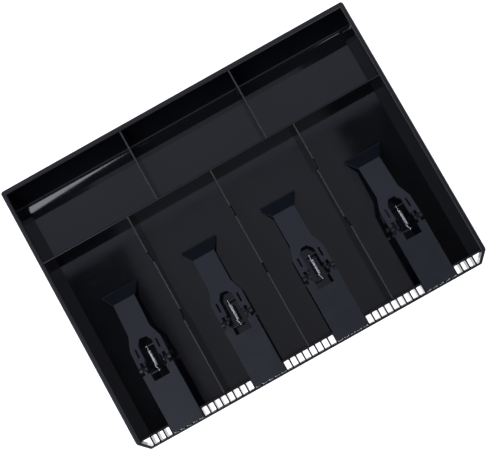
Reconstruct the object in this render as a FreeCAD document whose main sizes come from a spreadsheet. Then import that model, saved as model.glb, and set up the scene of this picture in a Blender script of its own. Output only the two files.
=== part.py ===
import FreeCAD, Part
import os
import re
import Sketcher

# Insert tray of a cash drawer: three coin bays with scooped backs, four bill bays,
# and four sprung bill clips plugged into a comb along the front edge.
# Frame: millimetres, +X to the right, +Y to the back, +Z up. The origin is the middle
# of the tray's outline, on the surface that the tray stands on.

# Sizes that can be set by themselves.
drivingSizes = {
    "TrayWidth": (325.0, "over the side rims"),
    "TrayDepth": (245.0, "from the front rail to the back rim"),
    "TrayHeight": (36.0, "from the underside to the top of the rim"),
    "WallThickness": (2.0, "outer walls"),
    "FloorThickness": (2.0, "floor of every bay"),
    "SideRimWidth": (4.0, "flat top of the side rims"),
    "BackRimWidth": (4.4, "flat top of the back rim"),
    "RimDepth": (3.0, "height of the rim's outward lip"),
    "RimCornerRadius": (2.5, "back corners of the rim"),
    "ScoopRadius": (25.0, "hollow curve at the back of the coin bays"),
    "CombDepth": (9.0, "front wall to front rail, and the corner cut"),
    "CombDrop": (3.5, "comb and front wall tops below the rim"),
    "RailThickness": (1.9, "front rail"),
    "CornerThickness": (2.4, "rail across the cut corners"),
    "RailCornerRadius": (2.5, "outside of the bends in the rail"),
    "RibPitch": (5.88, "comb rib spacing"),
    "RibThickness": (1.3, "one comb rib"),
    "RibHeight": (14.0, "one comb rib"),
    "CrossThickness": (1.8, "wall between coins and bills"),
    "DividerThickness": (1.6, "walls between bays"),
    "DividerDrop": (0.5, "divider tops below the rim"),
    "CoinDepth": (63.9, "clear depth of a coin bay"),
    "CoinLeftExtra": (5.1, "left coin bay wider than the middle one"),
    "CoinRightExtra": (3.9, "right coin bay wider than the middle one"),
    "BillLeftExtra": (1.4, "left bill bay wider than the middle ones"),
    "BillRightExtra": (4.0, "right bill bay wider than the middle ones"),
    "FrontCrest": (68.5, "full-height front length of a bill divider"),
    "RearCrest": (33.9, "full-height rear length of a bill divider"),
    "FrontSlope": (8.6, "run of the slope behind the front crest"),
    "RearSlope": (6.3, "run of the slope before the rear crest"),
    "FingerDip": (16.0, "depth of the lowered middle"),
    "DipRadius": (3.0, "rounding where the lowered middle meets its slopes"),
    "StrapThickness": (2.2, "clip base plate"),
    "StrapReach": (48.0, "front wall's inner face to the hinge axis"),
    "StrapFrontGap": (0.5, "clip base plate to front rail"),
    "StrapEndGap": (4.6, "hinge axis to the plate's rear edge"),
    "StrapWindowWidth": (14.5, "notch for the spring in the clip base"),
    "StrapWindowLength": (7.9, "the same notch, along the clip"),
    "SkirtDepth": (3.0, "stiffening edges under the clip base"),
    "SkirtThickness": (1.4, "stiffening edges under the clip base"),
    "SkirtInset": (1.0, "stiffening edges clear of the front wall"),
    "KnuckleRadius": (2.3, "hinge hooks and ears"),
    "PinDiameter": (2.0, "hinge pins"),
    "PinClearance": (0.05, "radial, pin in hook"),
    "HookWidth": (2.2, "hinge hook across the clip"),
    "HookMouth": (1.7, "snap-in mouth of the hook"),
    "HookSideGap": (0.3, "hook to ear"),
    "InnerEarStart": (7.6, "clip centre to the inner ear"),
    "InnerEarThickness": (1.2, "inner ear"),
    "BarDiameter": (1.6, "posts that the spring hooks on"),
    "BarPast": (1.9, "free end of a post past the middle of the spring"),
    "BaseBarBack": (5.8, "base post in front of the hinge axis"),
    "BaseBarDrop": (2.0, "base post below the hinge axis"),
    "ArmBarReach": (16.9, "arm post behind the hinge axis, along the arm"),
    "ArmBarDrop": (1.6, "arm post below the hinge axis, square to the arm"),
    "SpringDiameter": (3.0, "spring coils, outside"),
    "SpringWire": (0.6, "spring wire"),
    "SpringHook": (4.2, "post centre to the first coil"),
    "ArmOverhang": (0.1, "arm wider than the clip base, each side"),
    "ArmThickness": (2.2, "arm plate"),
    "ArmStart": (5.8, "hinge axis to the arm plate between its ears"),
    "ArmShoulder": (19.5, "hinge axis to where the arm narrows"),
    "ArmTaper": (12.15, "length of the narrowing"),
    "ArmNeckWidth": (20.0, "narrow part of the arm"),
    "ArmLength": (62.1, "hinge axis to the bend"),
    "ArmWindowWidth": (12.5, "opening for the spring in the arm"),
    "ArmWindowEnd": (25.2, "hinge axis to the end of that opening"),
    "ArmWindowTaper": (5.2, "length of its narrowing end"),
    "ArmWindowTip": (6.0, "width of its rear edge"),
    "ArmSlotWidth": (1.6, "slots beside the opening"),
    "ArmSlotStart": (10.3, "hinge axis to the slots"),
    "ArmSlotLength": (8.6, "slots beside the opening"),
    "ArmSlotOffset": (9.7, "clip centre to the slots"),
    "ArmSkirtDepth": (3.5, "stiffening edges under the arm"),
    "ArmSkirtThickness": (1.3, "stiffening edges under the arm"),
    "LipLength": (15.4, "bend to the centre of the foot"),
    "LipAngle": (45.0, "degrees below level, with the clip down"),
    "LipWidth": (34.0, "flared end of the lip"),
    "FootRadius": (1.3, "rounded foot along the end of the lip"),
    "FootGap": (0.3, "foot above an empty floor"),
    "PlugGap": (0.25, "plug leg to comb rib"),
    "PlugLeg": (1.5, "one leg of a split plug, across the clip"),
    "PlugDepth": (4.0, "plug leg along the clip"),
    "PlugInset": (0.8, "front wall's outer face to the plug"),
    "BarbReach": (0.55, "barb under a comb rib"),
    "BarbGap": (0.3, "barb below the ribs"),
    "BarbHeight": (2.7, "tapered barb"),
}

# Places and sizes that follow from them, as formulas of the sheet. Clips and plugs count
# in whole comb slots, and a clip's base spans this many slots.
slotsPerClip = 5
derivedSizes = {
    "InnerHalf": "TrayWidth/2 - SideRimWidth",
    "OuterHalf": "InnerHalf + WallThickness",
    "FrontWallY": "CombDepth - TrayDepth/2",
    "FrontInnerY": "FrontWallY + WallThickness",
    "BackInnerY": "TrayDepth/2 - BackRimWidth",
    "BackWallY": "BackInnerY + WallThickness",
    "RailInnerY": "RailThickness - TrayDepth/2",
    "CombTop": "TrayHeight - CombDrop",
    "CombBottom": "CombTop - RibHeight",
    "CornerShift": "CornerThickness*sqrt(2)",
    "DividerTop": "TrayHeight - DividerDrop",
    "CrossBackY": "BackInnerY - CoinDepth",
    "CrossFrontY": "CrossBackY - CrossThickness",
    "CoinBay": "(2*InnerHalf - 2*DividerThickness - CoinLeftExtra - CoinRightExtra)/3",
    "BillBay": "(2*InnerHalf - 3*DividerThickness - BillLeftExtra - BillRightExtra)/4",
    "HingeY": "FrontInnerY + StrapReach",
    "HingeZ": "CombTop + StrapThickness/2",
    "StrapHalf": f"({slotsPerClip}*RibPitch - RibThickness)/2 + ArmOverhang",
    "ArmHalf": "StrapHalf + ArmOverhang",
    "HookStart": "InnerEarStart + InnerEarThickness + HookSideGap",
    "OuterEarStart": "HookStart + HookWidth + HookSideGap",
    "FootZ": "FloorThickness + FootGap + FootRadius",
    "ArmSlope": "asin((HingeZ - FootZ - LipLength*sin(LipAngle))/ArmLength)",
    "LipTurn": "LipAngle*1deg - ArmSlope",
    "SlotHalf": "(RibPitch - RibThickness)/2",
    "PlugOuter": "SlotHalf - PlugGap",
    "PlugInner": "PlugOuter - PlugLeg",
    "PlugFrontY": "FrontWallY - PlugInset - PlugDepth - HingeY",
    "BarbTop": "CombBottom - BarbGap - HingeZ",
    "ArmBarY": "ArmBarReach*cos(ArmSlope) - ArmBarDrop*sin(ArmSlope)",
    "ArmBarZ": "-ArmBarReach*sin(ArmSlope) - ArmBarDrop*cos(ArmSlope)",
    "SpringRun": "ArmBarY + BaseBarBack",
    "SpringFall": "-BaseBarDrop - ArmBarZ",
    "SpringSlope": "atan(SpringFall/SpringRun)",
    "SpringLength": "sqrt(SpringRun^2 + SpringFall^2)",
}

doc = FreeCAD.newDocument("CashDrawerTray")
xAxis = FreeCAD.Vector(1, 0, 0)
yAxis = FreeCAD.Vector(0, 1, 0)
zAxis = FreeCAD.Vector(0, 0, 1)
subParts = []


def qualified(text):
    """The same formula with the sheet's name before each alias."""
    word = re.compile(r"[A-Z][A-Za-z]+")
    owner = dict.fromkeys(drivingSizes, "Sizes.")
    owner.update(dict.fromkeys(derivedSizes, "Places."))
    return word.sub(lambda found: owner[found.group(0)] + found.group(0), text)


def makeSheets():
    sizes = doc.addObject("Spreadsheet::Sheet", "Sizes")
    for row, (alias, (value, note)) in enumerate(drivingSizes.items(), 1):
        sizes.set(f"A{row}", alias)
        sizes.set(f"B{row}", str(value))
        sizes.set(f"C{row}", note)
        sizes.setAlias(f"B{row}", alias)
    places = doc.addObject("Spreadsheet::Sheet", "Places")
    for row, (alias, formula) in enumerate(derivedSizes.items(), 1):
        places.set(f"A{row}", alias)
        places.set(f"B{row}", "=" + qualified(formula).replace("Places.", ""))
        places.setAlias(f"B{row}", alias)
        doc.recompute()
    return sizes, places


def number(alias):
    """What a cell holds, for counts and for choosing edges."""
    value = getattr(sizes if alias in drivingSizes else places, alias)
    return float(getattr(value, "Value", value))


def bind(thing, prop, formula):
    thing.setExpression(prop, qualified(formula))


def putAt(thing, x="0", y="0", z="0"):
    for letter, formula in zip("xyz", (x, y, z)):
        bind(thing, "Placement.Base." + letter, formula)


def finished(thing, label):
    """Names a sub-part and adds it to the list that is written out."""
    thing.Label = label
    subParts.append(thing)
    return thing


def block(name, x, y, z):
    """A box between two formulas along each axis."""
    box = doc.addObject("Part::Box", name)
    for prop, (low, high) in (("Length", x), ("Width", y), ("Height", z)):
        bind(box, prop, f"({high}) - ({low})")
    putAt(box, x[0], y[0], z[0])
    return box


def crossRod(name, radius, x, y="0", z="0"):
    """A cylinder along X."""
    rod = doc.addObject("Part::Cylinder", name)
    rod.Placement = FreeCAD.Placement(FreeCAD.Vector(), FreeCAD.Rotation(yAxis, 90))
    bind(rod, "Radius", radius)
    bind(rod, "Height", f"({x[1]}) - ({x[0]})")
    putAt(rod, x[0], y, z)
    return rod


def tapered(name, start, end, length, thickness):
    """A block along Y whose width goes from one pair of edges to another, thickness along Z."""
    wedge = doc.addObject("Part::Wedge", name)
    edges = {"Xmin": start[0], "Xmax": start[1], "X2min": end[0], "X2max": end[1]}
    edges.update({"Ymin": "0", "Ymax": length})
    edges.update({"Zmin": thickness[0], "Z2min": thickness[0]})
    edges.update({"Zmax": thickness[1], "Z2max": thickness[1]})
    for prop, formula in edges.items():
        bind(wedge, prop, formula)
    return wedge


def fused(name, parts):
    union = doc.addObject("Part::MultiFuse", name)
    union.Shapes = parts
    return union


def common(name, parts):
    overlap = doc.addObject("Part::MultiCommon", name)
    overlap.Shapes = parts
    return overlap


def without(name, base, tool):
    difference = doc.addObject("Part::Cut", name)
    difference.Base = base
    difference.Tool = tool
    return difference


def originPlane(body, role):
    return next(f for f in body.Origin.OriginFeatures if f.Role == role)


def polygonSketch(body, name, role, corners, height="0"):
    """A closed outline with every corner held at formulas for its two coordinates."""
    sketch = body.newObject("Sketcher::SketchObject", name)
    sketch.AttachmentSupport = [(originPlane(body, role), "")]
    sketch.MapMode = "FlatFace"
    bind(sketch, "AttachmentOffset.Base.z", height)
    count = len(corners)
    ring = [FreeCAD.Rotation(zAxis, 360 * i / count).multVec(10 * xAxis) for i in range(count)]
    for i in range(count):
        sketch.addGeometry(Part.LineSegment(ring[i], ring[(i + 1) % count]))
    for i in range(count):
        sketch.addConstraint(Sketcher.Constraint("Coincident", i, 2, (i + 1) % count, 1))
    for i, corner in enumerate(corners):
        for kind, start, formula in zip(("DistanceX", "DistanceY"), (ring[i].x, ring[i].y), corner):
            row = sketch.addConstraint(Sketcher.Constraint(kind, -1, 1, i, 1, start))
            bind(sketch, f"Constraints[{row}]", formula)
    return sketch


def pad(body, sketch, name, length, symmetric=False):
    feature = body.newObject("PartDesign::Pad", name)
    feature.Profile = sketch
    feature.SideType = "Symmetric" if symmetric else "One side"
    bind(feature, "Length", length)
    return feature


def pocketUp(body, sketch, name):
    """Cuts from the sketch upwards through everything, and checks that it cut."""
    before = body.Shape.Volume
    feature = body.newObject("PartDesign::Pocket", name)
    feature.Profile = sketch
    feature.Type = "ThroughAll"
    feature.Reversed = True
    doc.recompute()
    if body.Shape.Volume > before - 1:
        raise RuntimeError(name + " cuts nothing")
    return feature


def roundEdges(body, name, radius, chosen):
    """Fillets the edges of the body for which chosen(centre, direction) is true."""
    doc.recompute()
    found = []
    for i, edge in enumerate(body.Tip.Shape.Edges, 1):
        if isinstance(edge.Curve, Part.Line) and chosen(edge.CenterOfMass, edge.Curve.Direction):
            found.append(f"Edge{i}")
    fillet = body.newObject("PartDesign::Fillet", name)
    fillet.Base = (fillet.BaseFeature, found)
    bind(fillet, "Radius", radius)
    doc.recompute()
    return fillet


def near(a, b):
    return abs(a - b) < 0.001


def makeShell():
    """Floor, side, front and back walls, coin scoop and outward rim, moulded in one."""
    body = doc.addObject("PartDesign::Body", "TrayShell")
    outline = [
        ("-OuterHalf", "FrontWallY"),
        ("OuterHalf", "FrontWallY"),
        ("OuterHalf", "BackWallY"),
        ("-OuterHalf", "BackWallY"),
    ]
    pad(body, polygonSketch(body, "ShellPlan", "XY_Plane", outline), "ShellBlock", "TrayHeight")
    backY = number("BackWallY")
    roundEdges(
        body,
        "OuterScoop",
        "ScoopRadius + WallThickness",
        lambda at, way: near(at.y, backY) and near(at.z, 0) and near(abs(way.x), 1),
    )
    cavity = [
        ("-InnerHalf", "FrontInnerY"),
        ("InnerHalf", "FrontInnerY"),
        ("InnerHalf", "BackInnerY"),
        ("-InnerHalf", "BackInnerY"),
    ]
    pocketUp(body, polygonSketch(body, "CavityPlan", "XY_Plane", cavity, "FloorThickness"), "Cavity")
    frontTop = [
        ("-InnerHalf", "FrontWallY"),
        ("InnerHalf", "FrontWallY"),
        ("InnerHalf", "FrontInnerY"),
        ("-InnerHalf", "FrontInnerY"),
    ]
    pocketUp(body, polygonSketch(body, "FrontWallTop", "XY_Plane", frontTop, "CombTop"), "FrontDrop")
    rim = [
        ("-TrayWidth/2", "FrontWallY"),
        ("-InnerHalf", "FrontWallY"),
        ("-InnerHalf", "BackInnerY"),
        ("InnerHalf", "BackInnerY"),
        ("InnerHalf", "FrontWallY"),
        ("TrayWidth/2", "FrontWallY"),
        ("TrayWidth/2", "TrayDepth/2"),
        ("-TrayWidth/2", "TrayDepth/2"),
    ]
    rimSketch = polygonSketch(body, "RimPlan", "XY_Plane", rim, "TrayHeight - RimDepth")
    pad(body, rimSketch, "Rim", "RimDepth")
    rimX = number("TrayWidth") / 2
    rimY = number("TrayDepth") / 2
    roundEdges(
        body,
        "RimCorners",
        "RimCornerRadius",
        lambda at, way: near(abs(at.x), rimX) and near(at.y, rimY) and near(abs(way.z), 1),
    )
    x = ("-InnerHalf", "InnerHalf")
    scoopY = "BackInnerY - ScoopRadius"
    scoopZ = "FloorThickness + ScoopRadius"
    corner = block("ScoopCorner", x, (scoopY, "BackWallY"), ("0", scoopZ))
    outside = crossRod("ScoopOutside", "ScoopRadius + WallThickness", x, scoopY, scoopZ)
    curved = common("ScoopSolid", [corner, outside])
    hollow = crossRod("ScoopHollow", "ScoopRadius", x, scoopY, scoopZ)
    shell = fused("Shell", [body, without("CoinScoop", curved, hollow)])
    shell.Refine = True
    return finished(shell, "tray_shell")


def makeRail():
    """The thin front rail with its two cut corners, standing off from the front wall."""
    body = doc.addObject("PartDesign::Body", "FrontRail")
    cornerX = "TrayWidth/2 - CombDepth"
    outline = [
        ("-TrayWidth/2", "FrontWallY"),
        (f"-({cornerX})", "-TrayDepth/2"),
        (cornerX, "-TrayDepth/2"),
        ("TrayWidth/2", "FrontWallY"),
        ("TrayWidth/2 - CornerShift", "FrontWallY"),
        (f"{cornerX} + RailThickness - CornerShift", "RailInnerY"),
        (f"-({cornerX} + RailThickness - CornerShift)", "RailInnerY"),
        ("-(TrayWidth/2 - CornerShift)", "FrontWallY"),
    ]
    sketch = polygonSketch(body, "RailPlan", "XY_Plane", outline, "CombBottom")
    pad(body, sketch, "Rail", "TrayHeight - CombBottom")
    bendX = number("TrayWidth") / 2 - number("CombDepth")
    frontY = -number("TrayDepth") / 2
    roundEdges(
        body,
        "RailBends",
        "RailCornerRadius",
        lambda centre, way: near(abs(centre.x), bendX) and near(centre.y, frontY) and near(abs(way.z), 1),
    )
    return finished(body, "front_rail")


def makeRibs():
    """The comb's upright ribs, in pairs either side of the middle slot."""
    straight = number("TrayWidth") / 2 - number("CombDepth") + number("RailThickness")
    reach = straight - number("CornerShift") - number("RibThickness") / 2
    pairs = int(reach / number("RibPitch") + 0.5)
    ribs = []
    for i in range(pairs):
        for side in (-1, 1):
            centre = f"{side * (i + 0.5)}*RibPitch"
            x = (f"{centre} - RibThickness/2", f"{centre} + RibThickness/2")
            y = ("RailInnerY", "FrontWallY")
            ribs.append(block("CombRib", x, y, ("CombBottom", "CombTop")))
    group = doc.addObject("Part::Compound", "CombRibs")
    group.Links = ribs
    return finished(group, "comb_ribs")


def makeCrossDivider():
    """The wall between the coin bays and the bill bays."""
    y = ("CrossFrontY", "CrossBackY")
    wall = block("CrossDivider", ("-InnerHalf", "InnerHalf"), y, ("FloorThickness", "DividerTop"))
    return finished(wall, "cross_divider")


def makeCoinDivider(index, x):
    """A plain wall whose lower rear corner follows the coin scoop."""
    thick = (f"{x} - DividerThickness/2", f"{x} + DividerThickness/2")
    scoopY = "BackInnerY - ScoopRadius"
    scoopZ = "FloorThickness + ScoopRadius"
    ahead = block("CoinAhead", thick, ("CrossBackY", scoopY), ("FloorThickness", "DividerTop"))
    above = block("CoinAbove", thick, (scoopY, "BackInnerY"), (scoopZ, "DividerTop"))
    corner = block("CoinCorner", thick, (scoopY, "BackInnerY"), ("FloorThickness", scoopZ))
    scoop = crossRod("CoinRound", "ScoopRadius", thick, scoopY, scoopZ)
    curved = common("CoinCurve", [corner, scoop])
    wall = fused(f"CoinDivider{index}", [ahead, above, curved])
    wall.Refine = True
    return finished(wall, f"coin_divider_{index}")


def makeBillDivider(index, x):
    """A wall with a lowered middle, so that fingers can lift the notes."""
    body = doc.addObject("PartDesign::Body", f"BillDivider{index}")
    low = "DividerTop - FingerDip"
    outline = [
        ("FrontInnerY", "FloorThickness"),
        ("CrossFrontY", "FloorThickness"),
        ("CrossFrontY", "DividerTop"),
        ("CrossFrontY - RearCrest", "DividerTop"),
        ("CrossFrontY - RearCrest - RearSlope", low),
        ("FrontInnerY + FrontCrest + FrontSlope", low),
        ("FrontInnerY + FrontCrest", "DividerTop"),
        ("FrontInnerY", "DividerTop"),
    ]
    sketch = polygonSketch(body, f"BillProfile{index}", "YZ_Plane", outline)
    pad(body, sketch, f"BillWall{index}", "DividerThickness", symmetric=True)
    rear = number("CrossFrontY") - number("RearCrest")
    front = number("FrontInnerY") + number("FrontCrest")
    slopeEnds = (rear, rear - number("RearSlope"), front, front + number("FrontSlope"))
    roundEdges(
        body,
        f"DipCorners{index}",
        "DipRadius",
        lambda at, way: near(abs(way.x), 1) and any(near(at.y, y) for y in slopeEnds),
    )
    putAt(body, x=x)
    return finished(body, f"bill_divider_{index}")


def mirrored(low, high):
    """The two ranges along X, left and right of the clip's centre."""
    return (("left", (f"-({high})", f"-({low})")), ("right", (low, high)))


def makeHook(name, x):
    """A hinge hook of the clip base: a round knuckle, open at the top, on a short neck."""
    reach = "StrapEndGap"
    eye = crossRod(name + "Eye", "KnuckleRadius", x)
    plateZ = ("-StrapThickness/2", "StrapThickness/2")
    neck = block(name + "Neck", x, (f"-{reach} - SkirtThickness", "0"), plateZ)
    bore = crossRod(name + "Bore", "PinDiameter/2 + PinClearance", x)
    mouth = block(name + "Mouth", x, ("-HookMouth/2", "HookMouth/2"), ("0", "KnuckleRadius + PinClearance"))
    return without(name, fused(name + "Solid", [eye, neck]), fused(name + "Opening", [bore, mouth]))


def makePlug(name, slot):
    """A split plug below the clip base: two sprung legs whose barbs catch under the comb ribs."""
    parts = []
    centre = f"{slot}*RibPitch"
    y = ("PlugFrontY", "PlugFrontY + PlugDepth")
    for side, sign in (("Left", -1), ("Right", 1)):
        inner = f"{centre} + {sign}*PlugInner"
        outer = f"{centre} + {sign}*PlugOuter"
        tip = f"{centre} + {sign}*(SlotHalf + BarbReach)"
        ends = (inner, outer)[::sign]
        barbEnds = (inner, tip)[::sign]
        z = ("BarbTop - BarbHeight", "-StrapThickness/2")
        parts.append(block(name + side + "Leg", ends, y, z))
        barb = tapered(name + side + "Barb", barbEnds, ends, "BarbHeight", ("0", "PlugDepth"))
        barb.Placement = FreeCAD.Placement(FreeCAD.Vector(), FreeCAD.Rotation(xAxis, -90))
        putAt(barb, y=y[0], z="BarbTop")
        parts.append(barb)
    return parts


def makeClipBase(index, centreX):
    """Strap over the comb, with edges below, three plugs, two hinge hooks and the spring's post."""
    name = f"Base{index}"
    plateZ = ("-StrapThickness/2", "StrapThickness/2")
    skirtZ = ("-StrapThickness/2 - SkirtDepth", "-StrapThickness/2")
    strapY = ("RailInnerY + StrapFrontGap - HingeY", "-StrapEndGap")
    skirtY = ("FrontInnerY + SkirtInset - HingeY", "-StrapEndGap")
    windowY = ("-StrapEndGap - StrapWindowLength", "-StrapEndGap")
    windowHalf = "StrapWindowWidth/2"
    plate = block(name + "Plate", ("-StrapHalf", "StrapHalf"), strapY, plateZ)
    window = block(name + "Window", (f"-{windowHalf}", windowHalf), windowY, plateZ)
    parts = [without(name + "Strap", plate, window)]
    for side, x in mirrored("StrapHalf - SkirtThickness", "StrapHalf"):
        parts.append(block(f"{name}Skirt{side}", x, skirtY, skirtZ))
    for side, x in mirrored(windowHalf, f"{windowHalf} + SkirtThickness"):
        parts.append(block(f"{name}Cheek{side}", x, windowY, skirtZ))
    for side, x in mirrored("HookStart", "HookStart + HookWidth"):
        parts.append(makeHook(f"{name}Hook{side}", x))
    barX = (f"-{windowHalf} - SkirtThickness/2", "BarPast")
    parts.append(crossRod(name + "Bar", "BarDiameter/2", barX, "-BaseBarBack", "-BaseBarDrop"))
    for slot in (-2, 0, 2):
        parts += makePlug(f"{name}Plug{slot + 2}", slot)
    base = fused("Clip" + name, parts)
    putAt(base, centreX, "HingeY", "HingeZ")
    return finished(base, f"clip_{index}_base")


def makeArmWindow(name):
    """The opening around the spring, narrowing at its rear end."""
    z = ("-ArmThickness", "ArmThickness")
    sides = ("-ArmWindowWidth/2", "ArmWindowWidth/2")
    straightY = ("-KnuckleRadius", "ArmWindowEnd - ArmWindowTaper")
    rear = tapered(name + "Rear", sides, ("-ArmWindowTip/2", "ArmWindowTip/2"), "ArmWindowTaper", z)
    putAt(rear, y="ArmWindowEnd - ArmWindowTaper")
    return [block(name + "Long", sides, straightY, z), rear]


def makeClipArm(index, centreX):
    """The arm that presses the notes down: ears, forked plate, narrow neck and flared lip."""
    name = f"Arm{index}"
    plateZ = ("-ArmThickness/2", "ArmThickness/2")
    skirtZ = ("-ArmThickness/2 - ArmSkirtDepth", "-ArmThickness/2")
    neckHalf = "ArmNeckWidth/2"
    neckY = "ArmShoulder + ArmTaper"
    wide = ("-ArmHalf", "ArmHalf")
    neck = (f"-{neckHalf}", neckHalf)
    rear = block(name + "Rear", wide, ("ArmStart", "ArmShoulder"), plateZ)
    narrowing = tapered(name + "Narrowing", wide, neck, "ArmTaper", plateZ)
    putAt(narrowing, y="ArmShoulder")
    strip = block(name + "Neck", neck, (neckY, "ArmLength"), plateZ)
    bend = crossRod(name + "Bend", "ArmThickness/2", neck, "ArmLength")
    flared = ("-LipWidth/2", "LipWidth/2")
    lip = tapered(name + "Lip", neck, flared, "LipLength", plateZ)
    lip.Placement = FreeCAD.Placement(FreeCAD.Vector(), FreeCAD.Rotation(-xAxis, 30))
    bind(lip, "Placement.Rotation.Angle", "LipTurn")
    putAt(lip, y="ArmLength")
    footY = "ArmLength + LipLength*cos(LipTurn)"
    foot = crossRod(name + "Foot", "FootRadius", flared, footY, "-LipLength*sin(LipTurn)")
    parts = [rear, narrowing, strip, bend, lip, foot]
    for side, x in mirrored("ArmHalf - ArmSkirtThickness", "ArmHalf"):
        parts.append(block(f"{name}Skirt{side}", x, ("ArmStart", "ArmShoulder"), skirtZ))
    plate = fused(name + "Plate", parts)
    cuts = makeArmWindow(name + "Window")
    slotY = ("ArmSlotStart", "ArmSlotStart + ArmSlotLength")
    for side, x in mirrored("ArmSlotOffset - ArmSlotWidth/2", "ArmSlotOffset + ArmSlotWidth/2"):
        cuts.append(block(f"{name}Slot{side}", x, slotY, ("-ArmThickness", "ArmThickness")))
    pierced = without(name + "Pierced", plate, fused(name + "Cuts", cuts))
    half = "ArmWindowWidth/2"
    fittings = []
    cheekY = ("ArmStart", "ArmWindowEnd - ArmWindowTaper")
    for side, x in mirrored(half, f"{half} + ArmSkirtThickness"):
        fittings.append(block(f"{name}Cheek{side}", x, cheekY, skirtZ))
    barX = ("-BarPast", f"{half} + ArmSkirtThickness/2")
    fittings.append(crossRod(name + "Bar", "BarDiameter/2", barX, "ArmBarReach", "-ArmBarDrop"))
    for side, x in mirrored("InnerEarStart", "InnerEarStart + InnerEarThickness"):
        fittings += makeEar(f"{name}Inner{side}", x)
    for side, x in mirrored("OuterEarStart", "ArmHalf"):
        fittings += makeEar(f"{name}Outer{side}", x)
    holes = [
        crossRod(f"{name}Hole{side}", "PinDiameter/2", x)
        for side, x in mirrored("InnerEarStart", "ArmHalf")
    ]
    solid = fused(name + "Solid", [pierced] + fittings)
    arm = without("Clip" + name, solid, fused(name + "Holes", holes))
    arm.Placement = FreeCAD.Placement(FreeCAD.Vector(), FreeCAD.Rotation(-xAxis, 18))
    bind(arm, "Placement.Rotation.Angle", "ArmSlope")
    putAt(arm, centreX, "HingeY", "HingeZ")
    return finished(arm, f"clip_{index}_arm")


def makeEar(name, x):
    """An ear of the arm, round about the hinge axis and running back into the plate."""
    eye = crossRod(name + "Eye", "KnuckleRadius", x)
    tongueZ = ("-KnuckleRadius", "ArmThickness/2")
    tongue = block(name + "Tongue", x, ("0", "ArmStart + ArmSkirtThickness"), tongueZ)
    return [eye, tongue]


def makePins(index, centreX):
    """Two short hinge pins, pressed into the arm's ears and turning in the base's hooks."""
    for side, x in mirrored("InnerEarStart", "ArmHalf"):
        pin = crossRod(f"Pin{index}{side}", "PinDiameter/2", x)
        bind(pin, "Placement.Base.x", f"{centreX} + {x[0]}")
        bind(pin, "Placement.Base.y", "HingeY")
        bind(pin, "Placement.Base.z", "HingeZ")
        finished(pin, f"clip_{index}_pin_{side}")


def makeSpring(index, centreX):
    """The extension spring between the two posts: a closed coil body with a loop at each end."""
    name = f"Spring{index}"
    parts = []
    reach = "SpringDiameter/2 - SpringWire/2"
    for end, y, way in (("Base", "0", 1), ("Arm", "SpringLength", -1)):
        loop = doc.addObject("Part::Torus", name + end + "Loop")
        loop.Placement = FreeCAD.Placement(FreeCAD.Vector(), FreeCAD.Rotation(yAxis, 90))
        bind(loop, "Radius1", reach)
        bind(loop, "Radius2", "SpringWire/2")
        putAt(loop, y=y)
        neck = doc.addObject("Part::Cylinder", name + end + "Neck")
        neck.Placement = FreeCAD.Placement(FreeCAD.Vector(), FreeCAD.Rotation(xAxis, -90 * way))
        bind(neck, "Radius", "SpringWire/2")
        bind(neck, "Height", f"SpringHook - {reach} + SpringWire")
        putAt(neck, y=f"{y} + {way}*({reach})")
        parts += [loop, neck]
    coils = doc.addObject("Part::Cylinder", name + "Coils")
    coils.Placement = FreeCAD.Placement(FreeCAD.Vector(), FreeCAD.Rotation(xAxis, -90))
    bind(coils, "Radius", "SpringDiameter/2")
    bind(coils, "Height", "SpringLength - 2*SpringHook")
    putAt(coils, y="SpringHook")
    spring = fused("Clip" + name, parts + [coils])
    spring.Placement = FreeCAD.Placement(FreeCAD.Vector(), FreeCAD.Rotation(-xAxis, 12))
    bind(spring, "Placement.Rotation.Angle", "SpringSlope")
    putAt(spring, centreX, "HingeY - BaseBarBack", "HingeZ - BaseBarDrop")
    return finished(spring, f"clip_{index}_spring")


def makeTray():
    makeShell()
    makeRail()
    makeRibs()
    makeCrossDivider()
    coinX = "-InnerHalf + CoinBay + CoinLeftExtra + DividerThickness/2"
    makeCoinDivider(1, coinX)
    makeCoinDivider(2, f"{coinX} + CoinBay + DividerThickness")
    billX = "-InnerHalf + BillBay + BillLeftExtra + DividerThickness/2"
    for i in range(3):
        makeBillDivider(i + 1, f"{billX} + {i}*(BillBay + DividerThickness)")


def clipSlots():
    """The comb slot nearest to the middle of each bill bay, counted from the middle slot."""
    bay = number("BillBay")
    widths = [bay + number("BillLeftExtra"), bay, bay, bay + number("BillRightExtra")]
    slots = []
    left = -number("InnerHalf")
    for width in widths:
        slots.append(round((left + width / 2) / number("RibPitch")))
        left += width + number("DividerThickness")
    return slots


def makeClips():
    for index, slot in enumerate(clipSlots(), 1):
        centreX = f"{slot}*RibPitch"
        makeClipBase(index, centreX)
        makeClipArm(index, centreX)
        makePins(index, centreX)
        makeSpring(index, centreX)


def checkAndWrite():
    """Stops if anything failed to build, then writes one STEP file for each sub-part."""
    doc.recompute()
    for thing in doc.Objects:
        if {"Invalid", "Error"} & set(thing.State):
            raise RuntimeError(f"{thing.Name} failed: {thing.State}")
    os.makedirs("parts", exist_ok=True)
    for thing in subParts:
        if thing.Shape.isNull() or not thing.Shape.isValid():
            raise RuntimeError(thing.Label + " has no valid shape")
    for thing in subParts:
        thing.Shape.exportStep(f"parts/{thing.Label}.step")
        size = thing.Shape.BoundBox
        print(thing.Label, len(thing.Shape.Solids), round(thing.Shape.Volume, 1),
              [round(v, 2) for v in (size.XMin, size.YMin, size.ZMin, size.XMax, size.YMax, size.ZMax)])


sizes, places = makeSheets()
makeTray()
makeClips()
checkAndWrite()
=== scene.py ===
import math

import bmesh
import bpy
from mathutils import Matrix, Vector


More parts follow.
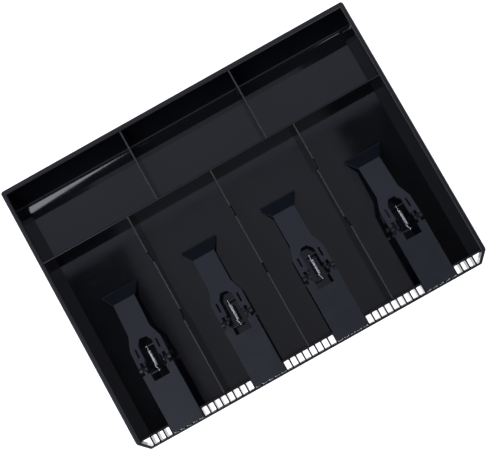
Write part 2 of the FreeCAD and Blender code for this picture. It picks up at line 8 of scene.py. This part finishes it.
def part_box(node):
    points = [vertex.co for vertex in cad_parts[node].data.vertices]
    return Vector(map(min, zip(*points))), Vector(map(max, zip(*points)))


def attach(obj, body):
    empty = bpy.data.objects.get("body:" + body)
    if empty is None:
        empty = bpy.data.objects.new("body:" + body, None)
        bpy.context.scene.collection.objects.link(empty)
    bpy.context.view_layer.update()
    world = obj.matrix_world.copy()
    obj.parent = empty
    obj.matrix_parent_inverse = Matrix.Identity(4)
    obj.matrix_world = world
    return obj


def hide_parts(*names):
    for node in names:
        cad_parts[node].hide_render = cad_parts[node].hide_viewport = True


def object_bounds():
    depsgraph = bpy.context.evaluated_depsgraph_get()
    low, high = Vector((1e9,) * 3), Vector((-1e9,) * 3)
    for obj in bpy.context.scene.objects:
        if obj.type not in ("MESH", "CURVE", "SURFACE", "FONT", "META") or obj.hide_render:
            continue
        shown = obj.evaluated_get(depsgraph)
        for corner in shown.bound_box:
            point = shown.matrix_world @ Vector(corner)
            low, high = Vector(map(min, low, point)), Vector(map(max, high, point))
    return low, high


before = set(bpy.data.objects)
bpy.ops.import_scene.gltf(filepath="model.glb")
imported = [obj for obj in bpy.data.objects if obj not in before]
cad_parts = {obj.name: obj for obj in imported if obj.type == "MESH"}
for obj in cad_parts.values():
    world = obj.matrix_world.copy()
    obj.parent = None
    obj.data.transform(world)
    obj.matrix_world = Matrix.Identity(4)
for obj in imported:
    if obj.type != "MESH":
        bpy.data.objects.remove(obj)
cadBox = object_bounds()
mm = 0.001
weldDistance = 0.002 * mm
flatAngle = math.radians(1)  # facets that turn less than this become one face
sharpAngle = math.radians(30)  # edges that turn more than this are rounded


def toLinear(hexColour):
    parts = [int(hexColour[i:i + 2], 16) / 255 for i in (1, 3, 5)]
    return [c / 12.92 if c <= 0.04045 else ((c + 0.055) / 1.055) ** 2.4 for c in parts] + [1.0]


def perMetre(sizeMm):
    return 1000 / sizeMm  # noise scale whose blobs are about this size


def addNode(tree, kind, settings=None, links=None):
    # names that start small are the node's own settings and come first, the rest are its inputs
    node = tree.nodes.new(kind)
    for key, value in (settings or {}).items():
        if isinstance(key, str) and key[0].islower():
            setattr(node, key, value)
        else:
            node.inputs[key].default_value = value
    for key, socket in (links or {}).items():
        tree.links.new(socket, node.inputs[key])
    return node


def newMaterial(name):
    material = bpy.data.materials.new(name)
    material.use_nodes = True
    tree = material.node_tree
    tree.nodes.clear()
    return material, tree


cameraSettings = {
    "standing": (0, -0.085, 0.982),
    "lookingAt": (0, 0, 0.036),
    "lens": 85.57,
    "roll": math.radians(29.3),
    "shift": (0.0022, -0.0017),
}


def makeCamera():
    s = cameraSettings
    data = bpy.data.cameras.new("studioCamera")
    data.lens = s["lens"]
    data.sensor_width = 36
    data.shift_x, data.shift_y = s["shift"]
    data.clip_start = 0.01
    camera = bpy.data.objects.new("studioCamera", data)
    bpy.context.scene.collection.objects.link(camera)
    back = (Vector(s["standing"]) - Vector(s["lookingAt"])).normalized()
    level = Vector((1, 0, 0))
    rise = back.cross(level)
    right = level * math.cos(s["roll"]) - rise * math.sin(s["roll"])
    up = level * math.sin(s["roll"]) + rise * math.cos(s["roll"])
    turn = Matrix((right, up, back)).transposed().to_4x4()
    camera.matrix_world = Matrix.Translation(s["standing"]) @ turn
    bpy.context.scene.camera = camera


# Panels overhead lie level and show in the level faces. The two low boxes at the sides have no
# turn: they face the tray and light its edges.
lightSettings = {
    "backPanel": {"place": (0, 1.18, 1.5), "size": (2.2, 1.9), "turn": 0, "radiance": 0.56,
                  "colour": "#e4e6ff"},
    "middlePanel": {"place": (0.014, 0.0, 1.5), "size": (0.52, 0.45), "turn": 0, "radiance": 0.38,
                    "colour": "#ebedff"},
    "leftPanel": {"place": (-0.86, -0.2, 1.5), "size": (0.8, 1.4), "turn": 0, "radiance": 1.1,
                  "colour": "#e9ebff"},
    "rightPanel": {"place": (0.86, -0.2, 1.5), "size": (0.8, 1.4), "turn": 0, "radiance": 0.3,
                   "colour": "#e9ebff"},
    "frontPanel": {"place": (0.9, -2.75, 1.5), "size": (3.8, 1.1), "turn": 0, "radiance": 0.4,
                   "colour": "#e9ebff"},
    "keyBox": {"place": (-0.72, -1.12, 1.499), "size": (0.85, 1.1), "turn": 12, "radiance": 4.6,
               "colour": "#f2f4ff"},
    "rightBox": {"place": (1.05, -1.72, 1.499), "size": (1.2, 0.16), "turn": 0, "radiance": 3.0,
                 "colour": "#f2f4ff"},
    "leftEdge": {"place": (-1.35, 0.2, 0.9), "size": (1.3, 0.8), "turn": None, "radiance": 3.2,
                 "colour": "#f2f4ff"},
    "rightEdge": {"place": (1.35, 0.2, 0.9), "size": (1.3, 0.8), "turn": None, "radiance": 2.2,
                  "colour": "#f2f4ff"},
}
worldSettings = {"colour": "#eef1f5", "strength": 0.04}


def makeLights():
    for name, s in lightSettings.items():
        data = bpy.data.lights.new(name, "AREA")
        data.shape = "RECTANGLE"
        data.size, data.size_y = s["size"]
        data.energy = s["radiance"] * math.pi * s["size"][0] * s["size"][1]
        data.color = toLinear(s["colour"])[:3]
        light = bpy.data.objects.new(name, data)
        bpy.context.scene.collection.objects.link(light)
        if s["turn"] is None:
            aim = (-Vector(s["place"])).to_track_quat("-Z", "Y").to_matrix().to_4x4()
        else:
            aim = Matrix.Rotation(math.radians(s["turn"]), 4, "Z")
        light.matrix_world = Matrix.Translation(s["place"]) @ aim
    world = bpy.data.worlds.new("studio")
    world.use_nodes = True
    background = world.node_tree.nodes["Background"]
    background.inputs["Color"].default_value = toLinear(worldSettings["colour"])
    background.inputs["Strength"].default_value = worldSettings["strength"]
    bpy.context.scene.world = world
    bpy.context.scene.view_settings.view_transform = "Standard"


floorSettings = {
    "size": 6.0, "colour": "#f4f4f4", "roughness": 0.9, "specular": 0.1, "glow": 1.05, "drop": 0.0003,
}


def makeFloor():
    s = floorSettings
    half = s["size"] / 2
    mesh = bpy.data.meshes.new("studioFloor")
    corners = [(-half, -half), (half, -half), (half, half), (-half, half)]
    mesh.from_pydata([(x, y, cadBox[0][2] - s["drop"]) for x, y in corners], [], [(0, 1, 2, 3)])
    floor = bpy.data.objects.new("studioFloor", mesh)
    bpy.context.scene.collection.objects.link(floor)
    material, tree = newMaterial("litWhiteSweep")
    shader = addNode(tree, "ShaderNodeBsdfPrincipled", {
        "Base Color": toLinear(s["colour"]), "Roughness": s["roughness"],
        "Specular IOR Level": s["specular"],
        "Emission Color": toLinear(s["colour"]), "Emission Strength": s["glow"],
    })
    addNode(tree, "ShaderNodeOutputMaterial", links={"Surface": shader.outputs[0]})
    mesh.materials.append(material)


makeCamera()
makeLights()
makeFloor()
print("stage: camera, lights and floor")


# Injection-moulded ABS, near black: a hard, slightly bluish gloss off a polished tool,
# with faint flow marks and the fine peel of a moulded skin. Its rims are rubbed satin.
trayPlastic = {
    "colour": "#0d0e11", "flowColour": "#121318", "flowMm": 38, "ior": 1.54,
    "roughness": 0.055, "roughnessRise": 0.05, "hazeMm": 26,
    "peelMm": 1.8, "peelDepthMm": 0.001, "warpMm": 45, "warpDepthMm": 0.03,
    "rubMm": 0.35, "rubRunMm": 26, "rubRoughness": 0.12,
    "handledAboveMm": 34.8, "handledFadeMm": 0.5, "handledRoughness": 0.24,
}
# The clips are the same plastic off a spark-eroded tool, so the gloss is broken by a fine grain.
# No height on them counts as handled.
clipPlastic = {
    "colour": "#161921", "flowColour": "#1c1f28", "flowMm": 22, "ior": 1.54,
    "roughness": 0.33, "roughnessRise": 0.08, "hazeMm": 12,
    "peelMm": 0.35, "peelDepthMm": 0.004, "warpMm": 30, "warpDepthMm": 0.02,
    "rubMm": 0.3, "rubRunMm": 14, "rubRoughness": 0.12,
    "handledAboveMm": 100, "handledFadeMm": 0.5, "handledRoughness": 0,
}
rubTurns = (0.35, 2.2)  # radians, the two ways that the hairline rubs run


def makePlastic(name, s):
    material, tree = newMaterial(name)
    where = addNode(tree, "ShaderNodeTexCoord").outputs["Object"]
    flow = addNode(tree, "ShaderNodeTexNoise", {
        "Scale": perMetre(s["flowMm"]), "Detail": 4.0, "Distortion": 1.2,
    }, {"Vector": where})
    tint = addNode(tree, "ShaderNodeMix", {
        "data_type": "RGBA", 6: toLinear(s["colour"]), 7: toLinear(s["flowColour"]),
    }, {0: flow.outputs["Fac"]})
    haze = addNode(tree, "ShaderNodeTexNoise", {
        "Scale": perMetre(s["hazeMm"]), "Detail": 6.0, "Roughness": 0.6,
    }, {"Vector": where})
    # hairline rubs from coins and notes: noise drawn out along two directions
    rubs = []
    for turn in rubTurns:
        drawnOut = addNode(tree, "ShaderNodeMapping", {
            "Rotation": (0, 0, turn),
            "Scale": (perMetre(s["rubRunMm"]), perMetre(s["rubMm"]), perMetre(s["rubRunMm"])),
        }, {"Vector": where})
        streak = addNode(tree, "ShaderNodeTexNoise", {"Scale": 1.0, "Detail": 2.0},
                         {"Vector": drawnOut.outputs[0]})
        rubs.append(addNode(tree, "ShaderNodeMapRange", {"From Min": 0.66, "From Max": 0.78},
                            {"Value": streak.outputs["Fac"]}).outputs[0])
    rub = addNode(tree, "ShaderNodeMath", {"operation": "MAXIMUM"}, {0: rubs[0], 1: rubs[1]})
    gloss = addNode(tree, "ShaderNodeMapRange", {
        "From Min": 0.35, "From Max": 0.75,
        "To Min": s["roughness"], "To Max": s["roughness"] + s["roughnessRise"],
    }, {"Value": haze.outputs["Fac"]})
    rough = addNode(tree, "ShaderNodeMath", {"operation": "MULTIPLY_ADD", 1: s["rubRoughness"]},
                    {0: rub.outputs[0], 2: gloss.outputs[0]})
    # rims and wall tops are rubbed satin by hands and by the drawer above
    height = addNode(tree, "ShaderNodeSeparateXYZ", links={0: where}).outputs["Z"]
    handled = addNode(tree, "ShaderNodeMapRange", {
        "From Min": s["handledAboveMm"] * mm, "From Max": (s["handledAboveMm"] + s["handledFadeMm"]) * mm,
        "To Max": s["handledRoughness"],
    }, {"Value": height})
    satin = addNode(tree, "ShaderNodeMath", {"operation": "ADD"},
                    {0: rough.outputs[0], 1: handled.outputs[0]})
    peel = addNode(tree, "ShaderNodeTexNoise", {"Scale": perMetre(s["peelMm"]), "Detail": 3.0},
                   {"Vector": where})
    warp = addNode(tree, "ShaderNodeTexNoise", {"Scale": perMetre(s["warpMm"]), "Detail": 1.0},
                   {"Vector": where})
    broad = addNode(tree, "ShaderNodeBump", {"Strength": 1.0, "Distance": s["warpDepthMm"] * mm},
                    {"Height": warp.outputs["Fac"]})
    fine = addNode(tree, "ShaderNodeBump", {"Strength": 1.0, "Distance": s["peelDepthMm"] * mm},
                   {"Height": peel.outputs["Fac"], "Normal": broad.outputs[0]})
    shader = addNode(tree, "ShaderNodeBsdfPrincipled", {"IOR": s["ior"]}, {
        "Base Color": tint.outputs[2], "Roughness": satin.outputs[0], "Normal": fine.outputs[0],
    })
    addNode(tree, "ShaderNodeOutputMaterial", links={"Surface": shader.outputs[0]})
    return material


# Spring wire is bright drawn steel under a thin zinc coat: near white, with fine lines from the die.
springSteel = {
    "colour": "#eceef1", "dullColour": "#c4c7cc", "stainMm": 5, "roughness": 0.24, "roughnessRise": 0.14,
    "lineMm": 0.12, "lineRunMm": 3, "lineDepthMm": 0.003,
}
# The hinge pins are cut from steel wire, coloured dark as painted shade for the hook mouths they sit in:
# slightly oily, over grinding lines.
pinPaintedShade = {
    "colour": "#43454a", "dullColour": "#2b2c30", "stainMm": 3, "roughness": 0.3, "roughnessRise": 0.14,
    "lineMm": 0.1, "lineRunMm": 2, "lineDepthMm": 0.003,
}


def makeSteel(name, s):
    material, tree = newMaterial(name)
    where = addNode(tree, "ShaderNodeTexCoord").outputs["Object"]
    stain = addNode(tree, "ShaderNodeTexNoise", {"Scale": perMetre(s["stainMm"]), "Detail": 5.0},
                    {"Vector": where})
    tint = addNode(tree, "ShaderNodeMix", {
        "data_type": "RGBA", 6: toLinear(s["colour"]), 7: toLinear(s["dullColour"]),
    }, {0: stain.outputs["Fac"]})
    gloss = addNode(tree, "ShaderNodeMapRange", {
        "From Min": 0.3, "From Max": 0.8,
        "To Min": s["roughness"], "To Max": s["roughness"] + s["roughnessRise"],
    }, {"Value": stain.outputs["Fac"]})
    drawn = addNode(tree, "ShaderNodeMapping", {
        "Scale": (perMetre(s["lineRunMm"]), perMetre(s["lineMm"]), perMetre(s["lineMm"])),
    }, {"Vector": where})
    lines = addNode(tree, "ShaderNodeTexNoise", {"Scale": 1.0, "Detail": 2.0}, {"Vector": drawn.outputs[0]})
    bump = addNode(tree, "ShaderNodeBump", {"Strength": 1.0, "Distance": s["lineDepthMm"] * mm},
                   {"Height": lines.outputs["Fac"]})
    shader = addNode(tree, "ShaderNodeBsdfPrincipled", {"Metallic": 1.0}, {
        "Base Color": tint.outputs[2], "Roughness": gloss.outputs[0], "Normal": bump.outputs[0],
    })
    addNode(tree, "ShaderNodeOutputMaterial", links={"Surface": shader.outputs[0]})
    return material


glossyAbs = makePlastic("glossyMouldedAbs", trayPlastic)
grainedAbs = makePlastic("sparkGrainedAbs", clipPlastic)
wireSteel = makeSteel("drawnSpringWire", springSteel)
# the pin steel is coloured dark as painted shade for the hook mouths
pinPaintedShadeSteel = makeSteel("blackOxideSteel", pinPaintedShade)
print("stage: materials")


def mergedCopy(node):
    shape = bmesh.new()
    shape.from_mesh(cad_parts[node].data)
    bmesh.ops.remove_doubles(shape, verts=shape.verts, dist=weldDistance)
    bmesh.ops.dissolve_limit(shape, angle_limit=flatAngle, verts=shape.verts, edges=shape.edges)
    return shape


def roundedPiece(name, shape, material, radius, steps):
    # outer edges are rounded, and the corners where walls meet stay crisp
    weights = shape.edges.layers.float.new("bevel_weight_edge")
    for edge in shape.edges:
        turned = len(edge.link_faces) == 2 and edge.calc_face_angle(0) > sharpAngle
        edge[weights] = 1.0 if turned and edge.is_convex else 0.0
        edge.smooth = edge.is_convex or not turned
    mesh = bpy.data.meshes.new(name)
    shape.to_mesh(mesh)
    shape.free()
    mesh.materials.clear()
    mesh.materials.append(material)
    rough = bpy.data.objects.new(name + "Rough", mesh)
    bpy.context.scene.collection.objects.link(rough)
    edges = rough.modifiers.new("edges", "BEVEL")
    edges.width = radius
    edges.segments = steps
    edges.limit_method = "WEIGHT"
    edges.miter_outer = "MITER_ARC"
    edges.use_clamp_overlap = True
    return settled(name, rough)


def settled(name, rough):
    # applies the modifiers and gives a plain mesh whose large faces keep their own normals
    for polygon in rough.data.polygons:
        polygon.use_smooth = True
    weighted = rough.modifiers.new("normals", "WEIGHTED_NORMAL")
    weighted.weight = 100
    weighted.keep_sharp = True
    depsgraph = bpy.context.evaluated_depsgraph_get()
    mesh = bpy.data.meshes.new_from_object(rough.evaluated_get(depsgraph))
    mesh.name = name
    bpy.data.objects.remove(rough)
    piece = bpy.data.objects.new(name, mesh)
    bpy.context.scene.collection.objects.link(piece)
    return piece


def place(piece, body, node):
    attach(piece, body)
    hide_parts(node)


traySettings = {
    "rimRadius": 1.1 * mm, "railRadius": 0.8 * mm, "wallRadius": 0.72 * mm, "steps": 4,
    "sink": 0.8 * mm, "endTolerance": 0.02 * mm,
}


def sink(shape, axis, at, by):
    # moves the end that lies at this place, so that its rounding hides inside the wall it meets
    for vertex in shape.verts:
        if abs(vertex.co[axis] - at) < traySettings["endTolerance"]:
            vertex.co[axis] += by


def makeTray():
    s = traySettings
    deep = s["sink"]
    shell = roundedPiece("trayShell", mergedCopy("tray_shell"), glossyAbs, s["rimRadius"], s["steps"])
    place(shell, "tray", "tray_shell")
    rail = roundedPiece("frontRail", mergedCopy("front_rail"), glossyAbs, s["railRadius"], s["steps"])
    place(rail, "tray", "front_rail")
    for node in ["cross_divider"] + [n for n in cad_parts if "_divider_" in n]:
        low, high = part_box(node)
        along = 0 if node == "cross_divider" else 1  # the axis that the wall runs along
        shape = mergedCopy(node)
        sink(shape, 2, low[2], -deep)
        sink(shape, along, low[along], -deep)
        sink(shape, along, high[along], deep)
        words = node.split("_")
        name = words[0] + "Divider" + "".join(words[2:])
        wall = roundedPiece(name, shape, glossyAbs, s["wallRadius"], s["steps"])
        place(wall, "tray", node)


makeTray()
print("stage: tray walls, rail and dividers")


# The slotted comb along the front is laid out by Geometry Nodes. Its ends lap into the walls.
combSettings = {
    "pitch": 5.88 * mm, "slotWidth": 4.58 * mm, "slots": 51, "cornerRadius": 0.6 * mm, "cornerSteps": 3,
    "lap": 0.6 * mm, "edgeRadius": 0.15 * mm, "edgeSteps": 2,
}


def combTree():
    tree = bpy.data.node_groups.new("slottedComb", "GeometryNodeTree")
    face = tree.interface
    face.new_socket("Geometry", in_out="OUTPUT", socket_type="NodeSocketGeometry")
    for name in ("Slots", "Corner Steps"):
        face.new_socket(name, in_out="INPUT", socket_type="NodeSocketInt")
    for name in ("Pitch", "Slot Width", "Slot Length", "Corner Radius", "Plate Length", "Depth"):
        face.new_socket(name, in_out="INPUT", socket_type="NodeSocketFloat")
    face.new_socket("Material", in_out="INPUT", socket_type="NodeSocketMaterial")
    given = addNode(tree, "NodeGroupInput").outputs
    # one cell is a square of plate with its slot cut out; the row of them makes the comb
    slot = addNode(tree, "GeometryNodeCurvePrimitiveQuadrilateral",
                   links={"Width": given["Slot Width"], "Height": given["Slot Length"]})
    softened = addNode(tree, "GeometryNodeFilletCurve", {"mode": "POLY"}, {
        "Curve": slot.outputs[0], "Count": given["Corner Steps"], "Radius": given["Corner Radius"],
    })
    outline = addNode(tree, "GeometryNodeCurvePrimitiveQuadrilateral",
                      links={"Width": given["Pitch"], "Height": given["Plate Length"]})
    both = addNode(tree, "GeometryNodeJoinGeometry", links={0: softened.outputs[0]})
    tree.links.new(outline.outputs[0], both.inputs[0])
    cell = addNode(tree, "GeometryNodeFillCurve", {"mode": "TRIANGLES"}, {0: both.outputs[0]})
    spread = addNode(tree, "ShaderNodeMath", {"operation": "MULTIPLY_ADD", 1: -0.5, 2: 0.5},
                     {0: given["Slots"]})
    first = addNode(tree, "ShaderNodeMath", {"operation": "MULTIPLY"},
                    {0: spread.outputs[0], 1: given["Pitch"]})
    start = addNode(tree, "ShaderNodeCombineXYZ", links={"X": first.outputs[0]})
    step = addNode(tree, "ShaderNodeCombineXYZ", links={"X": given["Pitch"]})
    line = addNode(tree, "GeometryNodeMeshLine", links={
        "Count": given["Slots"], "Start Location": start.outputs[0], "Offset": step.outputs[0],
    })
    row = addNode(tree, "GeometryNodeInstanceOnPoints",
                  links={"Points": line.outputs["Mesh"], "Instance": cell.outputs[0]})
    # the first and last ribs get their outer halves
    rib = addNode(tree, "ShaderNodeMath", {"operation": "SUBTRACT"},
                  {0: given["Pitch"], 1: given["Slot Width"]})
    halfRib = addNode(tree, "ShaderNodeMath", {"operation": "MULTIPLY", 1: 0.5}, {0: rib.outputs[0]})
    strip = addNode(tree, "GeometryNodeMeshGrid", {"Vertices X": 2, "Vertices Y": 2},
                    {"Size X": halfRib.outputs[0], "Size Y": given["Plate Length"]})
    halfRow = addNode(tree, "ShaderNodeMath", {"operation": "MULTIPLY", 1: 0.5}, {0: given["Slots"]})
    rowEnd = addNode(tree, "ShaderNodeMath", {"operation": "MULTIPLY"},
                     {0: halfRow.outputs[0], 1: given["Pitch"]})
    stripX = addNode(tree, "ShaderNodeMath", {"operation": "MULTIPLY_ADD", 1: 0.5},
                     {0: halfRib.outputs[0], 2: rowEnd.outputs[0]})
    pieces = addNode(tree, "GeometryNodeJoinGeometry", links={0: row.outputs[0]})
    for side in (-1, 1):
        x = addNode(tree, "ShaderNodeMath", {"operation": "MULTIPLY", 1: side}, {0: stripX.outputs[0]})
        away = addNode(tree, "ShaderNodeCombineXYZ", links={"X": x.outputs[0]})
        end = addNode(tree, "GeometryNodeTransform",
                      links={"Geometry": strip.outputs[0], "Translation": away.outputs[0]})
        tree.links.new(end.outputs[0], pieces.inputs[0])
    flat = addNode(tree, "GeometryNodeRealizeInstances", links={0: pieces.outputs[0]})
    plate = addNode(tree, "GeometryNodeMergeByDistance", {"Distance": weldDistance},
                    {"Geometry": flat.outputs[0]})
    # the flat plate is raised to the rib height and closed underneath
    rise = addNode(tree, "ShaderNodeCombineXYZ", links={"Z": given["Depth"]})
    raised = addNode(tree, "GeometryNodeExtrudeMesh", {"mode": "FACES", "Individual": False},
                     {"Mesh": plate.outputs[0], "Offset": rise.outputs[0]})
    under = addNode(tree, "GeometryNodeFlipFaces", links={"Mesh": plate.outputs[0]})
    closed = addNode(tree, "GeometryNodeJoinGeometry", links={0: raised.outputs["Mesh"]})
    tree.links.new(under.outputs[0], closed.inputs[0])
    welded = addNode(tree, "GeometryNodeMergeByDistance", {"Distance": weldDistance},
                     {"Geometry": closed.outputs[0]})
    solid = addNode(tree, "GeometryNodeRealizeInstances", links={0: welded.outputs[0]})
    finish = addNode(tree, "GeometryNodeSetMaterial",
                     links={"Geometry": solid.outputs[0], "Material": given["Material"]})
    addNode(tree, "NodeGroupOutput", links={0: finish.outputs[0]})
    return tree


def runTree(name, tree, values):
    holder = bpy.data.objects.new(name + "Rough", bpy.data.meshes.new(name + "Rough"))
    bpy.context.scene.collection.objects.link(holder)
    modifier = holder.modifiers.new("build", "NODES")
    modifier.node_group = tree
    sockets = {i.name: i.identifier for i in tree.interface.items_tree if i.in_out == "INPUT"}
    for key, value in values.items():
        modifier[sockets[key]] = value
    depsgraph = bpy.context.evaluated_depsgraph_get()
    mesh = bpy.data.meshes.new_from_object(holder.evaluated_get(depsgraph))
    bpy.data.objects.remove(holder)
    return mesh


def makeComb():
    s = combSettings
    low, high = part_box("comb_ribs")
    slotLength = high[1] - low[1]
    mesh = runTree("comb", combTree(), {
        "Slots": s["slots"], "Pitch": s["pitch"], "Slot Width": s["slotWidth"], "Slot Length": slotLength,
        "Corner Radius": s["cornerRadius"], "Corner Steps": s["cornerSteps"],
        "Plate Length": slotLength + 2 * s["lap"], "Depth": high[2] - low[2], "Material": glossyAbs,
    })
    mesh.transform(Matrix.Translation(((low[0] + high[0]) / 2, (low[1] + high[1]) / 2, low[2])))
    shape = bmesh.new()
    shape.from_mesh(mesh)
    bmesh.ops.dissolve_limit(shape, angle_limit=flatAngle, verts=shape.verts, edges=shape.edges)
    comb = roundedPiece("frontComb", shape, glossyAbs, s["edgeRadius"], s["edgeSteps"])
    place(comb, "tray", "comb_ribs")


makeComb()
print("stage: comb")


clipSettings = {"count": 4, "plateRadius": 0.35 * mm, "pinRadius": 0.25 * mm, "steps": 2}


def clipPart(name, node, body, material, radius):
    piece = roundedPiece(name, mergedCopy(node), material, radius, clipSettings["steps"])
    place(piece, body, node)


def makeClips():
    s = clipSettings
    for i in range(1, s["count"] + 1):
        arm = f"arm_{i}"
        clipPart(f"clip{i}Base", f"clip_{i}_base", "tray", grainedAbs, s["plateRadius"])
        clipPart(f"clip{i}Arm", f"clip_{i}_arm", arm, grainedAbs, s["plateRadius"])
        # the pins carry steel coloured dark as painted shade where they show in the hook mouths
        clipPart(f"clip{i}LeftPin", f"clip_{i}_pin_left", arm, pinPaintedShadeSteel, s["pinRadius"])
        clipPart(f"clip{i}RightPin", f"clip_{i}_pin_right", arm, pinPaintedShadeSteel, s["pinRadius"])


makeClips()
print("stage: clips")


# The extension springs are wound close, with a little air between turns so that each one shows.
coilSettings = {
    "wire": 0.6 * mm, "coil": 3.0 * mm, "turnPitch": 1.2, "loopReach": 4.2 * mm,
    "loopSweep": math.radians(-305), "loopTilt": math.radians(20), "around": 24, "wireSides": 10,
}


def springTree():
    tree = bpy.data.node_groups.new("extensionSpring", "GeometryNodeTree")
    face = tree.interface
    face.new_socket("Geometry", in_out="OUTPUT", socket_type="NodeSocketGeometry")
    for name in ("Length", "Loop Reach", "Coil Radius", "Wire Radius", "Turns", "Loop Sweep", "Loop Tilt"):
        face.new_socket(name, in_out="INPUT", socket_type="NodeSocketFloat")
    for name in ("Around", "Wire Sides"):
        face.new_socket(name, in_out="INPUT", socket_type="NodeSocketInt")
    face.new_socket("Material", in_out="INPUT", socket_type="NodeSocketMaterial")
    given = addNode(tree, "NodeGroupInput").outputs
    body = addNode(tree, "ShaderNodeMath", {"operation": "MULTIPLY_ADD", 1: -2.0},
                   {0: given["Loop Reach"], 2: given["Length"]})
    coil = addNode(tree, "GeometryNodeCurveSpiral", links={
        "Resolution": given["Around"], "Rotations": given["Turns"], "Start Radius": given["Coil Radius"],
        "End Radius": given["Coil Radius"], "Height": body.outputs[0],
    })
    up = addNode(tree, "ShaderNodeCombineXYZ", links={"Z": given["Loop Reach"]})
    lifted = addNode(tree, "GeometryNodeTransform",
                     links={"Geometry": coil.outputs[0], "Translation": up.outputs[0]})
    section = addNode(tree, "GeometryNodeCurvePrimitiveCircle",
                      links={"Resolution": given["Wire Sides"], "Radius": given["Wire Radius"]})
    # each end: a loop turned a little off its post, then a neck that leans out to the first turn
    arc = addNode(tree, "GeometryNodeCurveArc", {"Start Angle": 0.0}, {
        "Resolution": given["Around"], "Radius": given["Coil Radius"], "Sweep Angle": given["Loop Sweep"],
    })
    tilt = addNode(tree, "ShaderNodeCombineXYZ", {"Y": math.radians(-90)}, {"Z": given["Loop Tilt"]})
    stood = addNode(tree, "GeometryNodeTransform",
                    links={"Geometry": arc.outputs[0], "Rotation": tilt.outputs[0]})
    neckStart = addNode(tree, "ShaderNodeCombineXYZ", links={"Z": given["Coil Radius"]})
    neckEnd = addNode(tree, "ShaderNodeCombineXYZ",
                      links={"X": given["Coil Radius"], "Z": given["Loop Reach"]})
    neck = addNode(tree, "GeometryNodeCurvePrimitiveLine",
                   links={"Start": neckStart.outputs[0], "End": neckEnd.outputs[0]})
    hook = addNode(tree, "GeometryNodeJoinGeometry", links={0: stood.outputs[0]})
    tree.links.new(neck.outputs[0], hook.inputs[0])
    whole = addNode(tree, "ShaderNodeCombineXYZ", links={"Z": given["Length"]})
    turned = addNode(tree, "GeometryNodeTransform", {"Rotation": (math.pi, 0, 0)},
                     {"Geometry": hook.outputs[0], "Translation": whole.outputs[0]})
    path = addNode(tree, "GeometryNodeJoinGeometry", links={0: lifted.outputs[0]})
    tree.links.new(hook.outputs[0], path.inputs[0])
    tree.links.new(turned.outputs[0], path.inputs[0])
    wire = addNode(tree, "GeometryNodeCurveToMesh", {"Fill Caps": True},
                   {"Curve": path.outputs[0], "Profile Curve": section.outputs[0]})
    smooth = addNode(tree, "GeometryNodeSetShadeSmooth", links={"Geometry": wire.outputs[0]})
    solid = addNode(tree, "GeometryNodeRealizeInstances", links={0: smooth.outputs[0]})
    finish = addNode(tree, "GeometryNodeSetMaterial",
                     links={"Geometry": solid.outputs[0], "Material": given["Material"]})
    addNode(tree, "NodeGroupOutput", links={0: finish.outputs[0]})
    return tree


def makeSprings():
    s = coilSettings
    tree = springTree()
    for i in range(1, clipSettings["count"] + 1):
        # the box of the spring reaches half a coil past the middle of each end loop
        low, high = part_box(f"clip_{i}_spring")
        x = (low[0] + high[0]) / 2
        reach = s["coil"] / 2
        start = Vector((x, low[1] + reach, high[2] - reach))
        end = Vector((x, high[1] - reach, low[2] + reach))
        run = end - start
        body = run.length - 2 * s["loopReach"]
        mesh = runTree("spring", tree, {
            "Length": run.length, "Loop Reach": s["loopReach"], "Coil Radius": (s["coil"] - s["wire"]) / 2,
            "Wire Radius": s["wire"] / 2, "Turns": float(round(body / (s["turnPitch"] * s["wire"]))),
            "Loop Sweep": s["loopSweep"], "Loop Tilt": s["loopTilt"],
            "Around": s["around"], "Wire Sides": s["wireSides"], "Material": wireSteel,
        })
        mesh.name = f"clip{i}Spring"
        mesh.transform(Matrix.Translation(start) @ run.to_track_quat("Z", "Y").to_matrix().to_4x4())
        spring = bpy.data.objects.new(f"clip{i}Spring", mesh)
        bpy.context.scene.collection.objects.link(spring)
        place(spring, f"spring_{i}", f"clip_{i}_spring")


makeSprings()
print("stage: springs")
